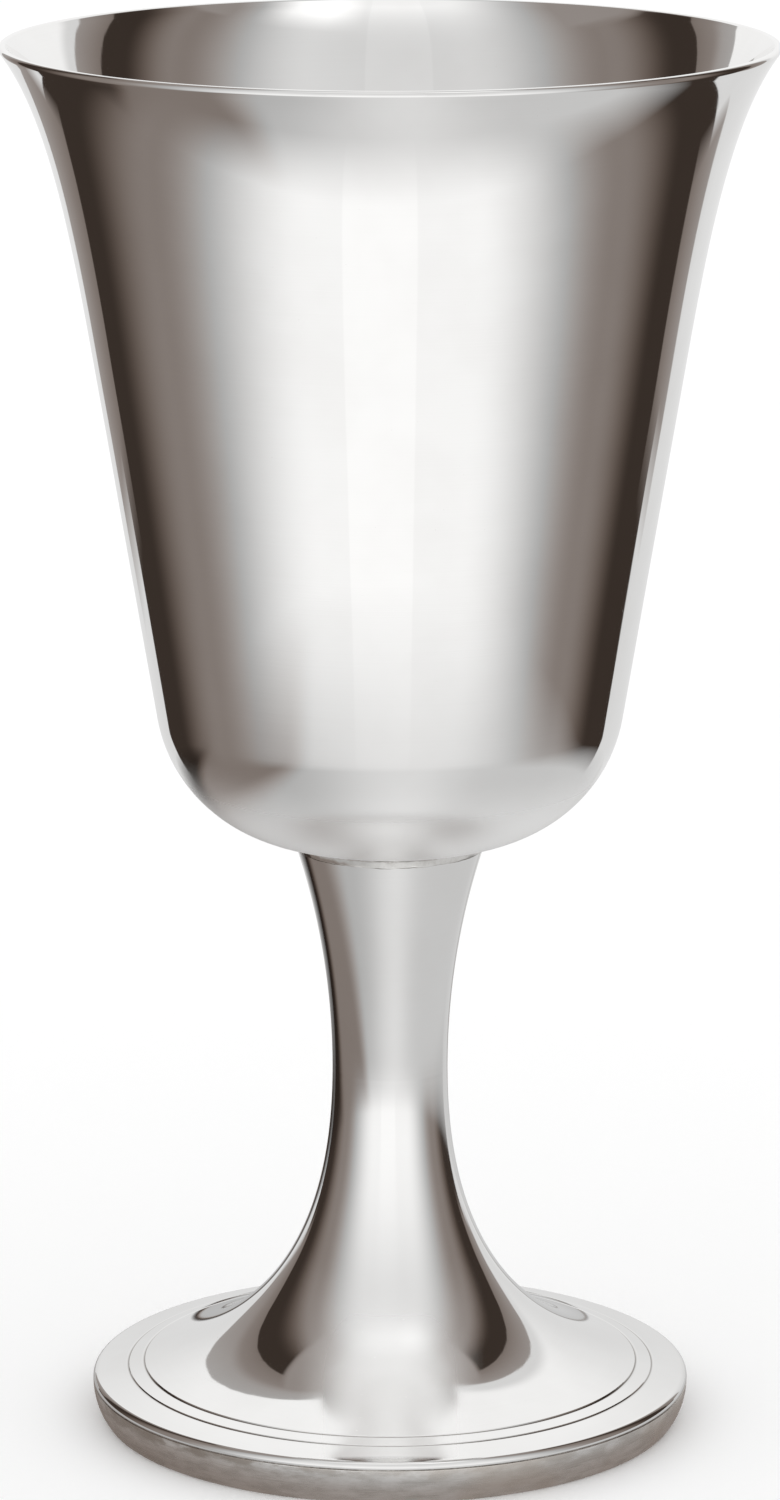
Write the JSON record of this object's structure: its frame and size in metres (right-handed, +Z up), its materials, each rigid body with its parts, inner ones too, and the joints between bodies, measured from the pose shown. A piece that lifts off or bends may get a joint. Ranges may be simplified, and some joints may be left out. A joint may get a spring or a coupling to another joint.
{
  "type": "communion chalice",
  "caption": "Plain polished pewter chalice: deep cup with flared lip, hollow hourglass stem, dished round foot with turned lines and an upright band.",
  "frame": {"origin": "centre of the base, in the plane that the chalice stands on", "axes": "+Z up along the chalice's axis; X and Y are any two directions square to it, with the vent hole of the base plate on +X"},
  "size_m": [0.09, 0.09, 0.165],
  "materials": {
    "bowl_pewter": "polished, near mirror, with fine turning lines",
    "stem_pewter": "polished, near mirror, with fine turning lines",
    "satin_pewter": "turned satin",
    "inner_pewter": "as spun, dull grey",
    "solder": "soft solder, dressed by hand"
  },
  "bodies": {
    "root": {"bowl": "bowl_pewter", "bowl_solder": "solder", "stem_cap": "inner_pewter", "upper_stem": "stem_pewter", "waist_sleeve": "inner_pewter", "waist_solder": "solder", "foot": "stem_pewter", "band_solder": "solder", "foot_band": "satin_pewter", "base_plate": "inner_pewter", "base_solder": "solder"}
  },
  "joints": []
}
